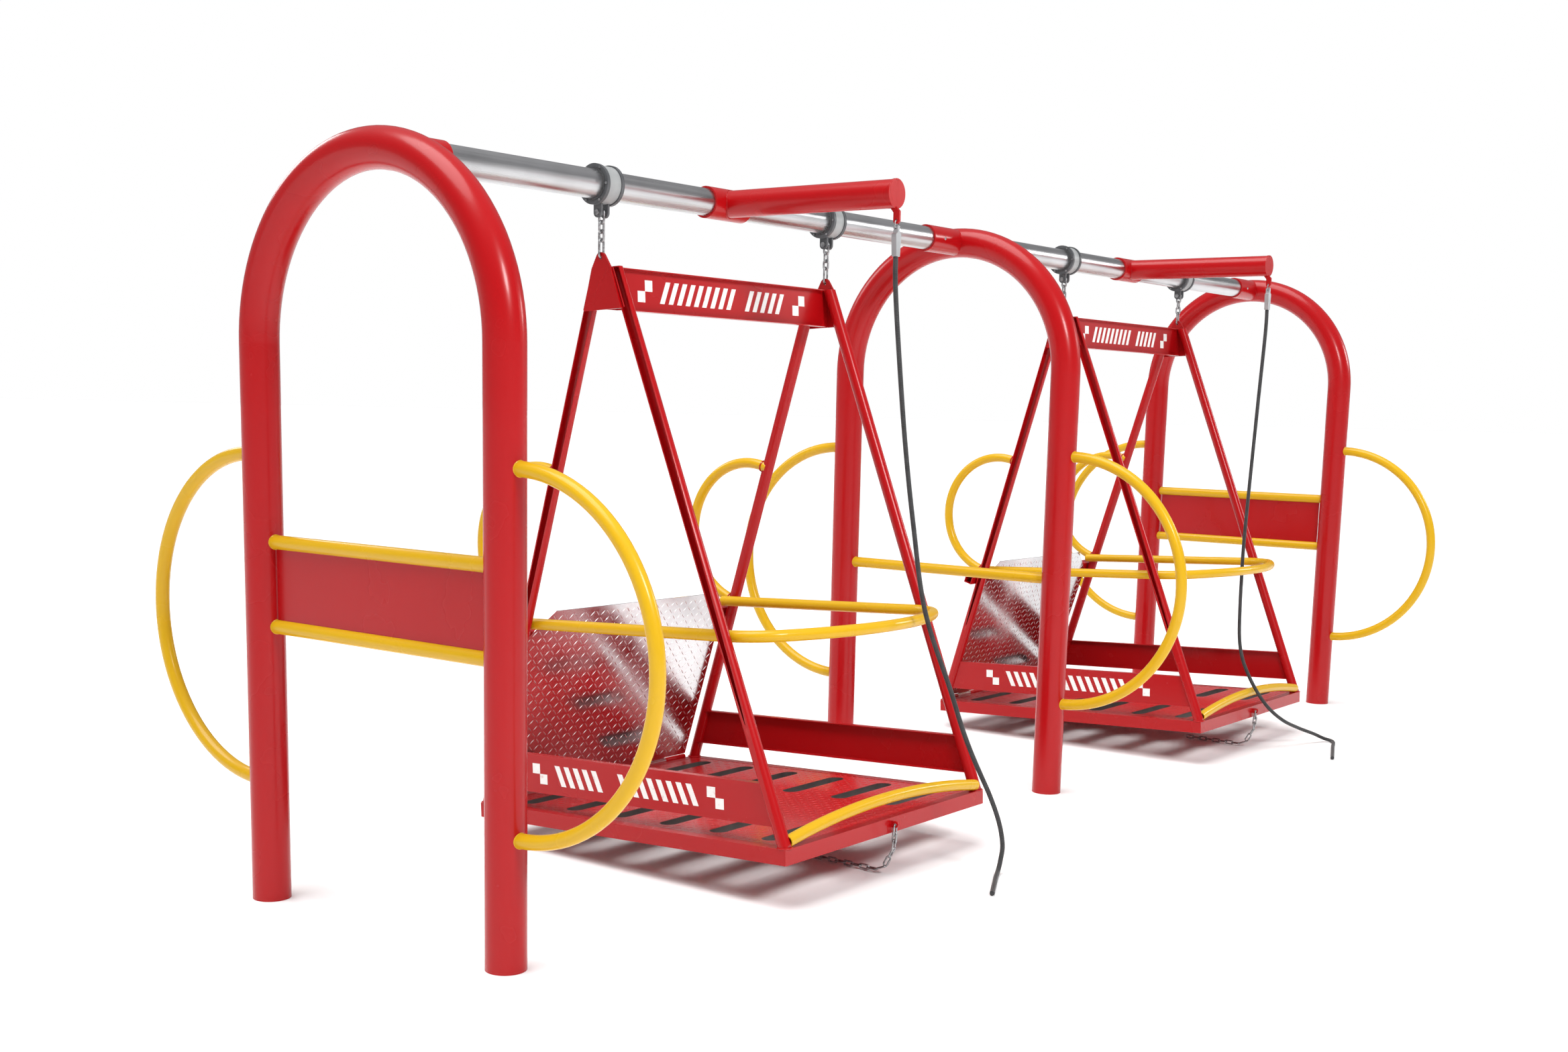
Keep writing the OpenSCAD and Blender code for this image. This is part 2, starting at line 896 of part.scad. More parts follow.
arch(0);  // arch_1
arch(1);  // arch_2
arch(2);  // arch_3
foot_plates();
guard_hoops(0);  // guard_hoops_1
guard_hoops(1);  // guard_hoops_2
guard_hoops(2);  // guard_hoops_3
end_rails();
middle_rail();
end_panels();
beam(0);  // beam_1
beam(1);  // beam_2
beam_sockets();
socket_screws();
bearing_sleeves();
pull_arm(0);  // pull_arm_1
pull_arm(1);  // pull_arm_2
arm_hooks();
rope_snaps();
rope_terminals();
pull_rope(0);  // pull_rope_1
pull_rope(1);  // pull_rope_2
for (bay = [0, 1]) {
    n = bay + 1;
    hanger_hubs(bay);
    hanger_rings(bay);
    hanger_bolts(bay);
    hanger_chains(bay);
    gussets(bay);
    a_frames(bay);
    sign_channel(bay);
    deck_frame(bay);
    deck_plate(bay);
    kick_boards(bay);
    wheel_stop(bay);
    hoop_rail(bay);
    grab_loops(bay);
    tie_lug(bay);
    tie_chain(bay);
    ramp_hinge(bay);
    ramp_plate(bay);
    ramp_bar(bay);
}
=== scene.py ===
"""Two-bay platform swing set: materials, ropes, welds, tread pattern and markings around the CAD frame."""
import json
import math

import bmesh
import bpy
from mathutils import Matrix, Vector


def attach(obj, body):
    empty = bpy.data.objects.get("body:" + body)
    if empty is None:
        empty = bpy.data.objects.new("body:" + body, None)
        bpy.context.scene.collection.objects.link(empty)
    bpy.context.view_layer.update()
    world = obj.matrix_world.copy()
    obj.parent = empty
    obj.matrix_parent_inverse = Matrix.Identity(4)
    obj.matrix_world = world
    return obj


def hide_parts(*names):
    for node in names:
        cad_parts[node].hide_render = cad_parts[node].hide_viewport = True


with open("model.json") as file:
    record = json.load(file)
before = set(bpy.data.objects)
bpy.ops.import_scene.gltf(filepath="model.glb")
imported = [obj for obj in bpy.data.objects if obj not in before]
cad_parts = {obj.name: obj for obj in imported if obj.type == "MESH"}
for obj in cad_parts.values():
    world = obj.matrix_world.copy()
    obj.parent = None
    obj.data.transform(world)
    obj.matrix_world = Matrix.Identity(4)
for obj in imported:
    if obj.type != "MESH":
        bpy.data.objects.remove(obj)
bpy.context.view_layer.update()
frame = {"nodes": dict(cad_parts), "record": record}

# ---------------------------------------------------------------- sizes, in metres, as the CAD frame has them

PITCH = 2.960  # distance between arches
BEAM_Z = 2.180
LEG_Y = 0.515
ARCH_R = 0.05715
BEAM_R = 0.04445
GUARD_R = 0.0212
HOOP_BEND = 0.490
HOOP_Z = 0.855
END_RAILS = (1.089, 0.838)
MIDDLE_RAIL = 0.860
EYE_Z = 1.961
TILT = math.radians(2.9)
DECK_X, DECK_Y, DECK_TOP = 0.570, 0.670, 0.1605
RAIL_R, RAIL_X, RAIL_Z, RAIL_BACK = 0.019, 0.513, 0.791, 0.455
ARM_SLEEVE_R = 0.052
HINGE = Vector((0.0, 0.682, 0.1625))
RAMP_LEAN = math.radians(19.9)
RAMP_X, RAMP_LEN, RAMP_T = 0.520, 0.705, 0.003
RAMP_CHAMFER = (0.120, 0.100)
ARCH_X = (-PITCH, 0.0, PITCH)
BAYS = {1: -PITCH / 2, 2: PITCH / 2}
ROPE_R = 0.008
GRAB_X, GRAB_MID, GRAB_BEND = 0.5525, (0.360, 1.050), 0.267
GRAB_WELDS = (math.radians(108.0), math.radians(-69.8))
PLATE_TOP = 0.1595
SLOT_X, SLOT_LONG, SLOT_WIDE, SLOT_PITCH, SLOT_ROWS = 0.3275, 0.326, 0.065, 0.212, 6
SLOT_FIRST = 0.530  # from the deck's middle to its first row of slots

# A swing leg's axis: where it starts at the deck, and how far it has moved across and in at LEG_TOP
LEG_FOOT_X, LEG_SPREAD = 0.549, 0.0135
LEG_FOOT_Y, LEG_CLOSE = 0.652, 0.616
LEG_TOP = 1.934
GUSSET_X, GUSSET_LOW, GUSSET_HIGH = 0.5836, 1.806, 1.930

# White markings: the face they lie on, half their run, and their lower and upper edges
SIGN_FACE, SIGN_HALF, SIGN_LOW, SIGN_HIGH = -0.0131, 0.44, 1.834, 1.904
KICK_FACE, KICK_HALF, KICK_LOW, KICK_HIGH = 0.5551, 0.42, 0.254, 0.322
MARK_THICK, BAR_WIDE, BAR_GAP = 0.0006, 0.022, 0.020


# ---------------------------------------------------------------- camera, floor and light

def make_camera():
    """The camera stands left of the first arch at eye height and looks along the set."""
    yaw, pitch, roll = 0.9162, 0.1536, 0.0228
    ahead = Vector((math.sin(yaw) * math.cos(pitch), math.cos(yaw) * math.cos(pitch), -math.sin(pitch)))
    right = Vector((math.cos(yaw), -math.sin(yaw), 0.0))
    up = right.cross(ahead)
    right_r = right * math.cos(roll) + up * math.sin(roll)
    up_r = up * math.cos(roll) - right * math.sin(roll)
    data = bpy.data.cameras.new("camera")
    data.lens, data.sensor_width, data.sensor_fit = 39.71, 36.0, "HORIZONTAL"
    data.shift_y = 0.0926
    data.clip_end = 200.0
    cam = bpy.data.objects.new("camera", data)
    cam.matrix_world = Matrix.Translation((-6.0765, -3.8295, 1.5262)) @ Matrix(
        (right_r, up_r, -ahead)).transposed().to_4x4()
    bpy.context.scene.collection.objects.link(cam)
    bpy.context.scene.camera = cam


def area_light(name, place, aim, size, power):
    data = bpy.data.lights.new(name, "AREA")
    data.shape, data.size, data.energy = "DISK", size, power
    light = bpy.data.objects.new(name, data)
    light.location = place
    light.rotation_euler = (Vector(aim) - Vector(place)).to_track_quat("-Z", "Y").to_euler()
    bpy.context.scene.collection.objects.link(light)


def make_world():
    """A soft grey room round the object; only the backdrop that the camera sees is plain white."""
    world = bpy.data.worlds.new("studio")
    world.use_nodes = True
    tree = world.node_tree
    tree.nodes.clear()
    room = tree.nodes.new("ShaderNodeBackground")
    ramp = tree.nodes.new("ShaderNodeValToRGB")
    split = tree.nodes.new("ShaderNodeSeparateXYZ")
    coords = tree.nodes.new("ShaderNodeTexCoord")
    half = tree.nodes.new("ShaderNodeMath")
    half.operation = "MULTIPLY_ADD"
    half.inputs[1].default_value = 0.5
    half.inputs[2].default_value = 0.5
    tree.links.new(coords.outputs["Generated"], split.inputs[0])
    tree.links.new(split.outputs["Z"], half.inputs[0])
    tree.links.new(half.outputs[0], ramp.inputs[0])
    tree.links.new(ramp.outputs[0], room.inputs["Color"])
    stops = ramp.color_ramp.elements
    stops[0].position, stops[0].color = 0.0, (0.50, 0.50, 0.50, 1)
    stops[1].position, stops[1].color = 1.0, (0.62, 0.62, 0.63, 1)
    stops.new(0.52).color = (0.36, 0.36, 0.36, 1)
    stops.new(0.70).color = (0.24, 0.24, 0.25, 1)
    backdrop = tree.nodes.new("ShaderNodeBackground")
    backdrop.inputs["Color"].default_value = (1.0, 1.0, 1.0, 1.0)
    rays = tree.nodes.new("ShaderNodeLightPath")
    mix = tree.nodes.new("ShaderNodeMixShader")
    out = tree.nodes.new("ShaderNodeOutputWorld")
    tree.links.new(rays.outputs["Is Camera Ray"], mix.inputs[0])
    tree.links.new(room.outputs[0], mix.inputs[1])
    tree.links.new(backdrop.outputs[0], mix.inputs[2])
    tree.links.new(mix.outputs[0], out.inputs[0])
    bpy.context.scene.world = world


def make_stage():
    bpy.ops.mesh.primitive_plane_add(size=400.0, location=(0, 0, -0.0005))
    floor = bpy.context.object
    floor.name = "floor"
    mat = bpy.data.materials.new("floor_pale")
    mat.use_nodes = True
    shader = mat.node_tree.nodes["Principled BSDF"]
    shader.inputs["Base Color"].default_value = (0.93, 0.93, 0.93, 1)
    shader.inputs["Roughness"].default_value = 0.85
    shader.inputs["Specular IOR Level"].default_value = 0.1
    floor.data.materials.append(mat)
    sun = bpy.data.lights.new("overhead", "SUN")
    sun.energy, sun.angle = 2.9, math.radians(48)
    lamp = bpy.data.objects.new("overhead", sun)
    lamp.rotation_euler = (Vector((0, 0, 0)) - Vector((-0.6, 0.35, 2.2))).to_track_quat("-Z", "Y").to_euler()
    bpy.context.scene.collection.objects.link(lamp)
    area_light("key", (-3.5, -6.5, 5.5), (0, 0, 0.8), 1.8, 330)
    area_light("side", (7.5, -4.5, 4.0), (1.0, 0, 0.9), 1.6, 110)
    area_light("back", (-1.0, 7.0, 5.0), (0, 0, 0.8), 2.4, 80)
    bpy.context.scene.view_settings.view_transform = "Standard"
    bpy.context.scene.view_settings.look = "None"


# ---------------------------------------------------------------- materials

class Nodes:
    """Short names for building a material's node tree."""

    def __init__(self, name):
        self.mat = bpy.data.materials.new(name)
        self.mat.use_nodes = True
        self.tree = self.mat.node_tree
        self.shader = self.tree.nodes["Principled BSDF"]
        self.place = self.tree.nodes.new("ShaderNodeTexCoord").outputs["Object"]

    def set(self, **values):
        for key, value in values.items():
            self.shader.inputs[key.replace("_", " ")].default_value = value

    def stretched(self, scale):
        node = self.tree.nodes.new("ShaderNodeMapping")
        node.inputs["Scale"].default_value = scale
        self.tree.links.new(self.place, node.inputs["Vector"])
        return node.outputs[0]

    def noise(self, scale, detail=3.0, rough=0.5, place=None):
        node = self.tree.nodes.new("ShaderNodeTexNoise")
        node.inputs["Scale"].default_value = scale
        node.inputs["Detail"].default_value = detail
        node.inputs["Roughness"].default_value = rough
        self.tree.links.new(place or self.place, node.inputs["Vector"])
        return node.outputs[0]

    def span(self, value, low, high, to_low=0.0, to_high=1.0):
        node = self.tree.nodes.new("ShaderNodeMapRange")
        for i, v in enumerate((low, high, to_low, to_high), start=1):
            node.inputs[i].default_value = v
        self.tree.links.new(value, node.inputs[0])
        return node.outputs[0]

    def mix(self, factor, a, b):
        node = self.tree.nodes.new("ShaderNodeMix")
        node.data_type = "RGBA"
        self.tree.links.new(factor, node.inputs[0])
        for socket, value in ((node.inputs[6], a), (node.inputs[7], b)):
            if isinstance(value, tuple):
                socket.default_value = (*value, 1.0)
            else:
                self.tree.links.new(value, socket)
        return node.outputs[2]

    def math(self, kind, a, b):
        node = self.tree.nodes.new("ShaderNodeMath")
        node.operation = kind
        for socket, value in zip(node.inputs, (a, b)):
            if isinstance(value, (int, float)):
                socket.default_value = value
            else:
                self.tree.links.new(value, socket)
        return node.outputs[0]

    def worn_edge(self, radius):
        """1 along sharp edges, from the angle between the plain and the rounded normal."""
        bevel = self.tree.nodes.new("ShaderNodeBevel")
        bevel.samples = 4
        bevel.inputs["Radius"].default_value = radius
        geometry = self.tree.nodes.new("ShaderNodeNewGeometry")
        dot = self.tree.nodes.new("ShaderNodeVectorMath")
        dot.operation = "DOT_PRODUCT"
        self.tree.links.new(bevel.outputs[0], dot.inputs[0])
        self.tree.links.new(geometry.outputs["Normal"], dot.inputs[1])
        return self.span(dot.outputs["Value"], 0.97, 0.80)

    def bump(self, height, strength, distance):
        node = self.tree.nodes.new("ShaderNodeBump")
        node.inputs["Strength"].default_value = strength
        node.inputs["Distance"].default_value = distance
        self.tree.links.new(height, node.inputs["Height"])
        self.tree.links.new(node.outputs[0], self.shader.inputs["Normal"])

    def to(self, socket, value):
        self.tree.links.new(value, self.shader.inputs[socket])


def gloss_paint(name, colour, shade, chip):
    """Powder coat: faint mottling, orange peel and pale, worn edges."""
    n = Nodes(name)
    mottle = n.noise(1.6, 5.0, 0.6)
    base = n.mix(n.span(mottle, 0.30, 0.72), colour, shade)
    dust = n.noise(38.0, 6.0, 0.65)
    worn = n.math("MULTIPLY", n.worn_edge(0.0022), n.span(dust, 0.42, 0.62))
    n.to("Base Color", n.mix(n.math("MULTIPLY", worn, 0.40), base, chip))
    n.to("Roughness", n.span(n.noise(5.0, 3.0), 0.25, 0.75, 0.26, 0.28))
    n.bump(n.noise(120.0, 2.0), 0.03, 0.0003)
    n.set(Specular_IOR_Level=0.26, Coat_Weight=0.10, Coat_Roughness=0.08)
    return n.mat


def deck_paint():
    """Anti-slip coating: the frame's red with fine pale grit in it."""
    n = Nodes("deck_coating")
    grit = n.noise(520.0, 2.0, 0.6)
    patch = n.noise(3.0, 4.0)
    red = n.mix(n.span(patch, 0.35, 0.7), (0.52, 0.006, 0.009), (0.44, 0.005, 0.007))
    n.to("Base Color", n.mix(n.span(grit, 0.64, 0.80), red, (0.66, 0.10, 0.09)))
    n.to("Roughness", n.span(grit, 0.35, 0.7, 0.20, 0.42))
    n.bump(grit, 0.20, 0.0005)
    n.set(Specular_IOR_Level=0.50, Coat_Weight=0.30, Coat_Roughness=0.10)
    return n.mat


def streaked_steel(name, scale, dark, light, rough):
    """Drawn steel tube: long streaks along the tube and faint smudges."""
    n = Nodes(name)
    streak = n.noise(1.0, 5.0, 0.6, place=n.stretched(scale))
    smudge = n.noise(5.0, 3.0)
    both = n.math("ADD", n.math("MULTIPLY", smudge, 0.35), n.math("MULTIPLY", streak, 0.65))
    n.to("Base Color", n.mix(n.span(both, 0.36, 0.62), dark, light))
    n.to("Roughness", n.span(streak, 0.3, 0.7, rough[0], rough[1]))
    n.bump(streak, 0.03, 0.0004)
    n.set(Metallic=1.0)
    return n.mat


def zinc():
    n = Nodes("zinc_steel")
    spangle = n.noise(90.0, 3.0, 0.6)
    n.to("Base Color", n.mix(n.span(spangle, 0.35, 0.65), (0.24, 0.24, 0.245), (0.46, 0.46, 0.47)))
    n.to("Roughness", n.span(spangle, 0.3, 0.7, 0.28, 0.50))
    n.bump(spangle, 0.15, 0.0005)
    n.set(Metallic=1.0)
    return n.mat


def casting(name, low, high, rough):
    n = Nodes(name)
    grain = n.noise(260.0, 3.0, 0.6)
    broad = n.noise(14.0, 3.0)
    n.to("Base Color", n.mix(n.span(broad, 0.3, 0.7), low, high))
    n.to("Roughness", n.span(grain, 0.3, 0.7, rough - 0.08, rough + 0.1))
    n.bump(grain, 0.25, 0.0006)
    n.set(Specular_IOR_Level=0.5)
    return n.mat


def aluminium(name, low, high, rough, scale):
    n = Nodes(name)
    brush = n.noise(1.0, 4.0, 0.6, place=n.stretched(scale))
    broad = n.noise(6.0, 4.0)
    n.to("Base Color", n.mix(n.span(broad, 0.32, 0.68), low, high))
    n.to("Roughness", n.span(brush, 0.3, 0.7, rough[0], rough[1]))
    n.bump(brush, 0.08, 0.0004)
    n.set(Metallic=1.0)
    return n.mat


def mirror_steel():
    """Bright chequer plate between its studs: mirror-like, with soft dull smears down the sheet."""
    n = Nodes("tread_plate")
    smear = n.noise(1.0, 4.0, 0.55, place=n.stretched((2.6, 2.6, 1.1)))
    fine = n.noise(70.0, 4.0)
    n.to("Base Color", n.mix(n.span(smear, 0.38, 0.64), (0.58, 0.58, 0.59), (0.76, 0.76, 0.77)))
    dull = n.span(smear, 0.46, 0.62, 0.10, 0.20)
    n.to("Roughness", n.math("ADD", dull, n.span(fine, 0.3, 0.7, 0.0, 0.06)))
    n.bump(fine, 0.02, 0.0002)
    n.set(Metallic=1.0)
    return n.mat


def rope_fibre():
    """Black braided rope: fine slanted strands with a faint sheen."""
    n = Nodes("black_rope")
    wave = n.tree.nodes.new("ShaderNodeTexWave")
    wave.wave_type = "BANDS"
    wave.bands_direction = "DIAGONAL"
    wave.inputs["Scale"].default_value = 95.0
    wave.inputs["Distortion"].default_value = 1.2
    n.tree.links.new(n.place, wave.inputs["Vector"])
    fade = n.span(n.noise(30.0, 4.0), 0.3, 0.7)
    n.to("Base Color", n.mix(fade, (0.012, 0.012, 0.013), (0.032, 0.032, 0.034)))
    n.to("Roughness", n.span(wave.outputs[1], 0.0, 1.0, 0.5, 0.75))
    n.bump(wave.outputs[1], 0.5, 0.0012)
    n.set(Sheen_Weight=0.15)
    return n.mat


def white_mark():
    n = Nodes("white_marking")
    scuff = n.noise(46.0, 6.0, 0.65)
    n.to("Base Color", n.mix(n.span(scuff, 0.58, 0.72), (0.86, 0.85, 0.83), (0.72, 0.50, 0.48)))
    n.to("Roughness", n.span(scuff, 0.3, 0.7, 0.35, 0.55))
    n.bump(n.noise(220.0, 2.0), 0.08, 0.0004)
    return n.mat


def bearing_nylon():
    n = Nodes("bearing_nylon")
    n.to("Base Color", n.mix(n.noise(60.0), (0.035, 0.036, 0.038), (0.06, 0.06, 0.062)))
    n.to("Roughness", n.span(n.noise(150.0), 0.3, 0.7, 0.45, 0.65))
    n.bump(n.noise(320.0), 0.1, 0.0004)
    return n.mat


def make_materials():
    return {
        "red_paint": gloss_paint("red_paint", (0.41, 0.003, 0.005), (0.39, 0.003, 0.005),
                                 (0.50, 0.10, 0.09)),
        "yellow_paint": gloss_paint("yellow_paint", (0.66, 0.385, 0.008), (0.63, 0.365, 0.008),
                                    (0.78, 0.60, 0.24)),
        "polished_beam": streaked_steel("polished_beam", (0.8, 38.0, 38.0), (0.42, 0.42, 0.425),
                                        (0.60, 0.60, 0.61), (0.24, 0.36)),
        "zinc_steel": zinc(),
        "bearing_plastic": bearing_nylon(),
        "hub_casting": casting("hub_casting", (0.27, 0.28, 0.28), (0.36, 0.37, 0.37), 0.42),
        "ring_casting": casting("ring_casting", (0.055, 0.058, 0.062), (0.10, 0.104, 0.11), 0.40),
        "cast_aluminium": aluminium("cast_aluminium", (0.40, 0.41, 0.42), (0.56, 0.57, 0.58),
                                    (0.34, 0.48), (60, 60, 6)),
        "tread_plate": mirror_steel(),
        "tread_stud": aluminium("tread_stud", (0.78, 0.79, 0.80), (0.92, 0.92, 0.93),
                                (0.30, 0.42), (80, 80, 80)),
        "deck_coating": deck_paint(),
        "black_rope": rope_fibre(),
        "white_marking": white_mark(),
        # painted shade: the dark slot linings stand in for the shaded floor seen through the deck's slots
        "slot_painted_shade": casting("slot_painted_shade", (0.050, 0.040, 0.038), (0.075, 0.062, 0.058), 0.60),
    }


# ---------------------------------------------------------------- mesh helpers

def hung(bay, point):
    """A point of the level swing's frame, moved to where its bay's swing hangs out of level."""
    x, y, z = point[0] + BAYS[bay], point[1], point[2] - EYE_Z
    return Vector((x, y * math.cos(TILT) + z * math.sin(TILT),
                   z * math.cos(TILT) - y * math.sin(TILT) + EYE_Z))


def on_ramp(bay, u, out, along):
    """A point of the folded ramp: u across, out from its middle plane to the rear, along its length."""
    y = HINGE.y - along * math.sin(RAMP_LEAN) + out * math.cos(RAMP_LEAN)
    z = HINGE.z + along * math.cos(RAMP_LEAN) + out * math.sin(RAMP_LEAN)
    return hung(bay, (u, y, z))


def new_piece(name, bm, body, slot, smooth=True):
    mesh = bpy.data.meshes.new(name)
    bmesh.ops.recalc_face_normals(bm, faces=bm.faces)
    bm.to_mesh(mesh)
    bm.free()
    if smooth:
        mesh.shade_smooth()
        mesh.set_sharp_from_angle(angle=math.radians(40))
    piece = bpy.data.objects.new(name, mesh)
    bpy.context.scene.collection.objects.link(piece)
    mesh.materials.append(MATERIALS[slot])
    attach(piece, body)
    return piece


def add_tube(bm, points, radius, sides=8, closed=False):
    """A round tube through the points, as faces in bm."""
    rings = []
    count = len(points)
    side = None
    for i, p in enumerate(points):
        before = points[i - 1] if (i or closed) else points[i]
        after = points[(i + 1) % count] if (i < count - 1 or closed) else points[i]
        along = (after - before).normalized()
        if side is None:
            side = along.orthogonal().normalized()
        side = (side - along * side.dot(along)).normalized()
        up = along.cross(side)
        rings.append([bm.verts.new(p + radius * (side * math.cos(a) + up * math.sin(a)))
                      for a in (2 * math.pi * k / sides for k in range(sides))])
    pairs = list(zip(rings, rings[1:])) + ([(rings[-1], rings[0])] if closed else [])
    for a, b in pairs:
        for k in range(sides):
            bm.faces.new((a[k], b[k], b[(k + 1) % sides], a[(k + 1) % sides]))
    if not closed:
        bm.faces.new(rings[0])
        bm.faces.new(rings[-1])


def saddle(centre, along, axis, pipe_r, rod_r, steps=40):
    """Where a rod, running along `along` from centre, meets a pipe about `axis` through centre."""
    along, axis = Vector(along).normalized(), Vector(axis).normalized()
    across = along.cross(axis)
    ring = []
    for i in range(steps):
        a = 2 * math.pi * i / steps
        u, v = rod_r * math.cos(a), rod_r * math.sin(a)
        reach = math.sqrt(max(pipe_r ** 2 - v ** 2, 0.0))
        ring.append(Vector(centre) + axis * u + across * v + along * reach)
    return ring


def slab(bm, corners, normal, thickness):
    """A thin flat solid on the corners, raised along normal."""
    low = [bm.verts.new(c) for c in corners]
    high = [bm.verts.new(c + normal * thickness) for c in corners]
    bm.faces.new(low)
    bm.faces.new(high)
    for i in range(len(corners)):
        j = (i + 1) % len(corners)
        bm.faces.new((low[i], low[j], high[j], high[i]))


# ---------------------------------------------------------------- ropes

ROPE_FLOOR = 0.0085
ROPE_ROUTES = {
    1: [(-1.480, -0.705, 1.988), (-1.478, -0.706, 1.900), (-1.460, -0.712, 1.720),
        (-1.432, -0.730, 1.420), (-1.409, -0.758, 1.150), (-1.386, -0.800, 0.870),
        (-1.348, -0.885, 0.615), (-1.330, -0.925, 0.490), (-1.305, -0.958, 0.390),
        (-1.265, -0.998, 0.272), (-1.236, -1.020, 0.180), (-1.210, -1.022, 0.100),
        (-1.205, -1.014, 0.045), (-1.225, -1.018, ROPE_FLOOR + 0.005), (-1.270, -1.038, ROPE_FLOOR),
        (-1.340, -1.074, ROPE_FLOOR), (-1.400, -1.105, ROPE_FLOOR), (-1.458, -1.135, ROPE_FLOOR)],
    2: [(1.480, -0.705, 1.988), (1.481, -0.704, 1.880), (1.482, -0.690, 1.580),
        (1.480, -0.672, 1.131), (1.478, -0.666, 0.909), (1.476, -0.667, 0.776),
        (1.468, -0.672, 0.643), (1.459, -0.682, 0.510), (1.450, -0.705, 0.420),
        (1.448, -0.740, 0.345), (1.456, -0.782, 0.272), (1.490, -0.828, 0.197),
        (1.570, -0.869, 0.133), (1.690, -0.897, 0.085), (1.810, -0.930, 0.044),
        (1.868, -0.958, 0.018), (1.882, -0.990, ROPE_FLOOR), (1.840, -1.018, ROPE_FLOOR),
        (1.745, -1.050, ROPE_FLOOR), (1.629, -1.092, ROPE_FLOOR), (1.476, -1.147, ROPE_FLOOR)],
}


def on_curve(points, i, t):
    """A Catmull-Rom curve through the points, as in the CAD frame."""
    a, b = points[max(i - 1, 0)], points[i]
    c, d = points[i + 1], points[min(i + 2, len(points) - 1)]
    return 0.5 * (2 * b + (c - a) * t + (2 * a - 5 * b + 4 * c - d) * t * t
                  + (3 * b - a - 3 * c + d) * t ** 3)


def make_rope(bay):
    points = [Vector(p) for p in ROPE_ROUTES[bay]]
    steps = 6
    route = [on_curve(points, i, k / steps) for i in range(len(points) - 1) for k in range(steps)]
    route.append(points[-1])
    data = bpy.data.curves.new(f"rope_{bay}", "CURVE")
    data.dimensions, data.bevel_depth, data.bevel_resolution, data.use_fill_caps = "3D", ROPE_R, 5, True
    spline = data.splines.new("POLY")
    spline.points.add(len(route) - 1)
    for knot, place in zip(spline.points, route):
        knot.co = (*place, 1.0)
    rope = bpy.data.objects.new(f"rope_{bay}", data)
    bpy.context.scene.collection.objects.link(rope)
    data.materials.append(MATERIALS["black_rope"])
    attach(rope, "root")
    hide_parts(f"pull_rope_{bay}")


# ---------------------------------------------------------------- welds

def frame_welds():
    """Weld beads where guard hoops, rails, sleeves and arms meet the frame's tubes."""
    bead = 0.0016
    bm = bmesh.new()
    for x in ARCH_X:
        for side in (-1, 1):
            for end in (-1, 1):
                z = HOOP_Z + end * HOOP_BEND
                add_tube(bm, saddle((x, side * LEG_Y, z), (0, side, 0), (0, 0, 1), ARCH_R, GUARD_R),
                         bead, closed=True)
            for z in ((MIDDLE_RAIL,) if x == 0 else END_RAILS):
                add_tube(bm, saddle((x, side * LEG_Y, z), (0, -side, 0), (0, 0, 1), ARCH_R, GUARD_R),
                         bead, closed=True)
    new_piece("hoop_welds", bm, "root", "yellow_paint")
    bm = bmesh.new()
    for x in BAYS.values():
        add_tube(bm, saddle((x, 0, BEAM_Z), (0, -1, 0), (1, 0, 0), ARM_SLEEVE_R + 0.001, BEAM_R + 0.001, 56),
                 bead, closed=True)
    new_piece("arm_welds", bm, "root", "red_paint")


def leg_point(side_x, side_y, z):
    """A point on a swing leg's axis at height z, in the level swing's frame."""
    t = (z - DECK_TOP) / (LEG_TOP - DECK_TOP)
    return Vector((side_x * (LEG_FOOT_X + LEG_SPREAD * t), side_y * (LEG_FOOT_Y - LEG_CLOSE * t), z))


def swing_welds(bay):
    """Beads round the legs' feet and the grab loops' ends, and along the gussets' edges."""
    bm = bmesh.new()
    for side_x in (-1, 1):
        for side_y in (-1, 1):
            foot = leg_point(side_x, side_y, DECK_TOP)
            ring = [hung(bay, foot + Vector((0.0222 * math.cos(a), 0.0235 * math.sin(a), 0.0015)))
                    for a in (2 * math.pi * i / 36 for i in range(36))]
            add_tube(bm, ring, 0.003, closed=True)
            if side_y > 0:
                for turn in GRAB_WELDS:
                    out = Vector((0.0, math.cos(turn), math.sin(turn)))
                    mid = Vector((side_x * GRAB_X, GRAB_MID[0], GRAB_MID[1])) + out * GRAB_BEND
                    ring = [hung(bay, mid + 0.0198 * (out * math.cos(a) + Vector((math.sin(a), 0, 0))))
                            for a in (2 * math.pi * i / 32 for i in range(32))]
                    add_tube(bm, ring, 0.0028, closed=True)
            for face in (-1, 1):
                edge = []
                for i in range(10):
                    z = GUSSET_LOW + (GUSSET_HIGH - GUSSET_LOW) * i / 9
                    p = leg_point(side_x, side_y, z)
                    edge.append(hung(bay, (side_x * GUSSET_X, p.y + face * 0.006, z)))
                add_tube(bm, edge, 0.0022)
    new_piece(f"leg_welds_{bay}", bm, f"swing_{bay}", "red_paint")


def rail_ends(bay):
    """Domed plugs welded into the open rear ends of the handrail hoop."""
    bm = bmesh.new()
    for side in (-1, 1):
        rings = []
        for r, out in ((RAIL_R, 0.0), (RAIL_R * 0.97, 0.003), (RAIL_R * 0.82, 0.0065), (RAIL_R * 0.5, 0.009)):
            rings.append([bm.verts.new(hung(bay, (side * RAIL_X + r * math.cos(a), RAIL_BACK + out,
                                                   RAIL_Z + r * math.sin(a))))
                          for a in (2 * math.pi * k / 32 for k in range(32))])
        for a, b in zip(rings, rings[1:]):
            for k in range(32):
                bm.faces.new((a[k], b[k], b[(k + 1) % 32], a[(k + 1) % 32]))
        bm.faces.new(rings[-1])
        bm.faces.new(rings[0])
    new_piece(f"rail_plugs_{bay}", bm, f"swing_{bay}", "yellow_paint")


# ---------------------------------------------------------------- tread patterns and slots

STUD_LONG, STUD_WIDE, STUD_HIGH = 0.0130, 0.0021, 0.0011  # half length, half width, height
PAINTED_STUD_HIGH = 0.0010
STUD_PITCH = 0.0265


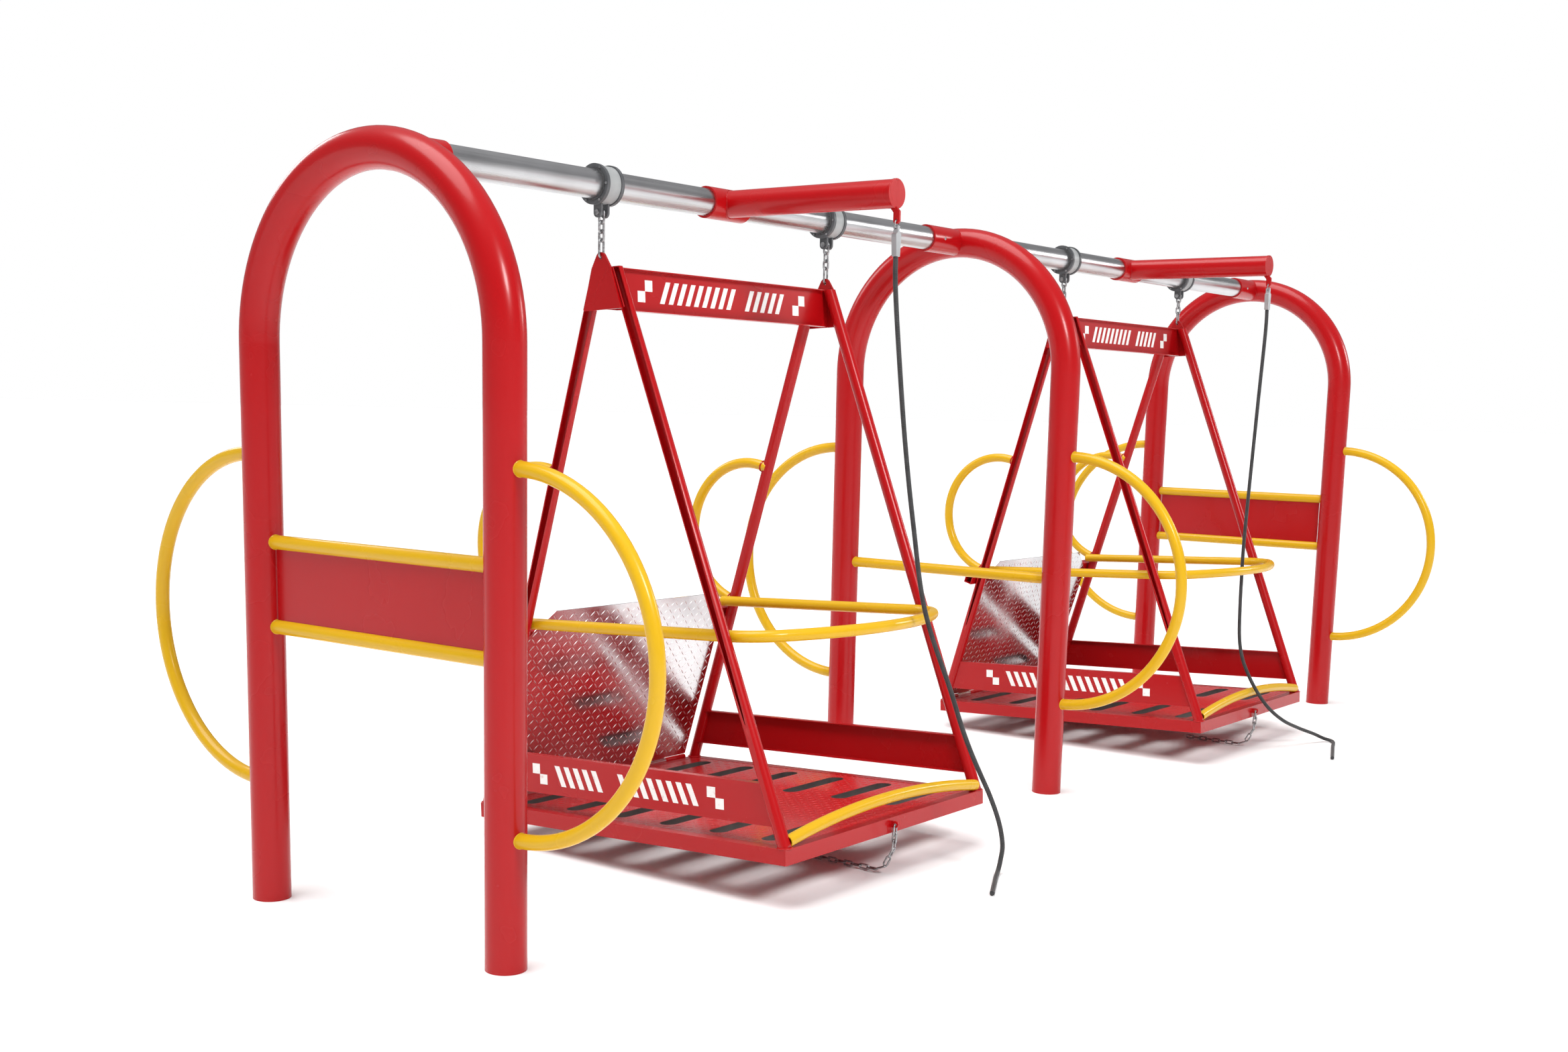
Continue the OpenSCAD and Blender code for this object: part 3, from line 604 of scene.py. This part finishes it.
def add_stud(bm, place, u, v, turn, high):
    """One raised lens of chequer plate; place(u, v, out) gives a point out from the sheet."""
    rim, top = [], []
    for k in range(10):
        a = 2 * math.pi * k / 10
        for ring, share, out in ((rim, 1.0, 0.0), (top, 0.5, high)):
            p, q = share * STUD_LONG * math.cos(a), share * STUD_WIDE * math.sin(a)
            ring.append(bm.verts.new(place(u + p * math.cos(turn) - q * math.sin(turn),
                                           v + p * math.sin(turn) + q * math.cos(turn), out)))
    for k in range(10):
        bm.faces.new((rim[k], rim[(k + 1) % 10], top[(k + 1) % 10], top[k]))
    bm.faces.new(top)
    bm.faces.new(rim)


def stud_field(bm, place, inside, half_u, half_v, pitch, high):
    """Lenses in two crossed directions over a sheet, where inside(u, v) says there is metal."""
    columns, rows = int(2 * half_u / pitch), int(2 * half_v / pitch)
    for i in range(columns + 1):
        for j in range(rows + 1):
            u, v = (i - columns / 2) * pitch, (j - rows / 2) * pitch
            if inside(u, v):
                add_stud(bm, place, u, v, math.radians(45 if (i + j) % 2 else -45), high)


def ramp_tread(bay):
    """Raised studs on the ramp's walking side."""
    middle = RAMP_LEN / 2 + 0.008

    def inside(u, v):
        cut = max(0.0, v + middle - (RAMP_LEN - RAMP_CHAMFER[1])) * RAMP_CHAMFER[0] / RAMP_CHAMFER[1]
        return abs(u) <= RAMP_X - 0.012 - cut

    bm = bmesh.new()
    stud_field(bm, lambda u, v, out: on_ramp(bay, u, -RAMP_T / 2 - out, v + middle), inside,
               RAMP_X - 0.012, RAMP_LEN / 2 - 0.022, STUD_PITCH, STUD_HIGH)
    new_piece(f"tread_studs_{bay}", bm, f"ramp_{bay}", "tread_stud")


def deck_tread(bay):
    """The same chequer pattern, painted over, on the deck plate between its slots."""
    def inside(u, v):
        row = (v + SLOT_FIRST) / SLOT_PITCH
        near = abs(row - round(row)) * SLOT_PITCH < SLOT_WIDE / 2 + 0.010 and 0 <= round(row) < SLOT_ROWS
        slot = near and abs(abs(u) - SLOT_X) < SLOT_LONG / 2 + 0.010
        leg = abs(u) > 0.520 and abs(v) > 0.610
        return not slot and not leg

    bm = bmesh.new()
    stud_field(bm, lambda u, v, out: hung(bay, (u, v, PLATE_TOP + out)), inside,
               DECK_X - 0.030, DECK_Y - 0.022, STUD_PITCH, PAINTED_STUD_HIGH)
    new_piece(f"deck_studs_{bay}", bm, f"swing_{bay}", "deck_coating")


def slot_shade_linings(bay):
    """Dark edging inside each slot of the deck plate, a little deeper than the plate: painted shade, dark
    walls standing in for the shaded floor seen through the slots.
    """
    bm = bmesh.new()
    low, high, wall = PLATE_TOP - 0.032, PLATE_TOP - 0.0008, 0.0022
    for side in (-1, 1):
        for row in range(SLOT_ROWS):
            mid = Vector((side * SLOT_X, (row - (SLOT_ROWS - 1) / 2) * SLOT_PITCH))
            loops = []
            for r, z in ((SLOT_WIDE / 2 - 0.0002, high), (SLOT_WIDE / 2 - 0.0002, low),
                         (SLOT_WIDE / 2 - wall, low), (SLOT_WIDE / 2 - wall, high)):
                loop = []
                for end in (-1, 1):
                    for k in range(13):
                        a = math.pi * (k / 12 - 0.5) + (math.pi if end < 0 else 0.0)
                        x = mid.x + end * (SLOT_LONG - SLOT_WIDE) / 2 + r * math.cos(a)
                        loop.append(bm.verts.new(hung(bay, (x, mid.y + r * math.sin(a), z))))
                loops.append(loop)
            for a, b in zip(loops, loops[1:] + loops[:1]):
                for k in range(len(a)):
                    j = (k + 1) % len(a)
                    bm.faces.new((a[k], a[j], b[j], b[k]))
    new_piece(f"slot_shade_linings_{bay}", bm, f"swing_{bay}", "slot_painted_shade")


# ---------------------------------------------------------------- markings

def hatch(bm, place, normal, start, end, low, high, bar, gap):
    """A run of slanted bars; place(u, v) gives a point of the face."""
    u = start
    slant = (high - low) * 0.45
    while u + bar + slant <= end:
        slab(bm, [place(u, low), place(u + bar, low), place(u + bar + slant, high), place(u + slant, high)],
             normal, MARK_THICK)
        u += bar + gap


def checker(bm, place, normal, u, v, half):
    """Two squares of a two by two checker."""
    for side in (-1, 1):
        a, b = sorted((0.0, side * half))
        slab(bm, [place(u + a, v + a), place(u + b, v + a), place(u + b, v + b), place(u + a, v + b)],
             normal, MARK_THICK)


def mark_face(bm, place, normal, half, low, high):
    """Two hatched blocks between two checker blocks."""
    middle = (low + high) / 2
    radius = (high - low) / 2
    for side in (-1, 1):
        checker(bm, place, normal, side * (half - radius), middle, radius)
    inner = half - 2 * radius - 0.035
    hatch(bm, place, normal, -inner, 0.20 * inner, low, high, BAR_WIDE, BAR_GAP)
    hatch(bm, place, normal, 0.30 * inner, inner, low, high, BAR_WIDE, BAR_GAP)


def sign_marks(bay):
    bm = bmesh.new()
    tilt_back = hung(bay, (0, -1, 0)) - hung(bay, (0, 0, 0))
    mark_face(bm, lambda u, v: hung(bay, (u, SIGN_FACE, v)), tilt_back, SIGN_HALF, SIGN_LOW, SIGN_HIGH)
    new_piece(f"sign_marks_{bay}", bm, f"swing_{bay}", "white_marking", smooth=False)


def kick_marks(bay):
    bm = bmesh.new()
    for side in (-1, 1):
        normal = Vector((side, 0, 0))
        mark_face(bm, lambda u, v: hung(bay, (side * KICK_FACE, -side * u, v)), normal,
                  KICK_HALF, KICK_LOW, KICK_HIGH)
    new_piece(f"kick_marks_{bay}", bm, f"swing_{bay}", "white_marking", smooth=False)


# ---------------------------------------------------------------- the scene

MATERIALS = make_materials()


def finish_cad_nodes():
    """Gives every CAD node the material of its slot."""
    slots = {part["node"]: part["material_slot"] for part in frame["record"]["subparts"]}
    for name, node in frame["nodes"].items():
        material = MATERIALS[slots[name]]
        if node.material_slots:
            for place in node.material_slots:
                place.material = material
        else:
            node.data.materials.append(material)


make_camera()
for bay in BAYS:
    make_rope(bay)
make_world()
make_stage()
finish_cad_nodes()
frame_welds()
for bay in BAYS:
    swing_welds(bay)
    rail_ends(bay)
    ramp_tread(bay)
    deck_tread(bay)
    slot_shade_linings(bay)
    sign_marks(bay)
    kick_marks(bay)
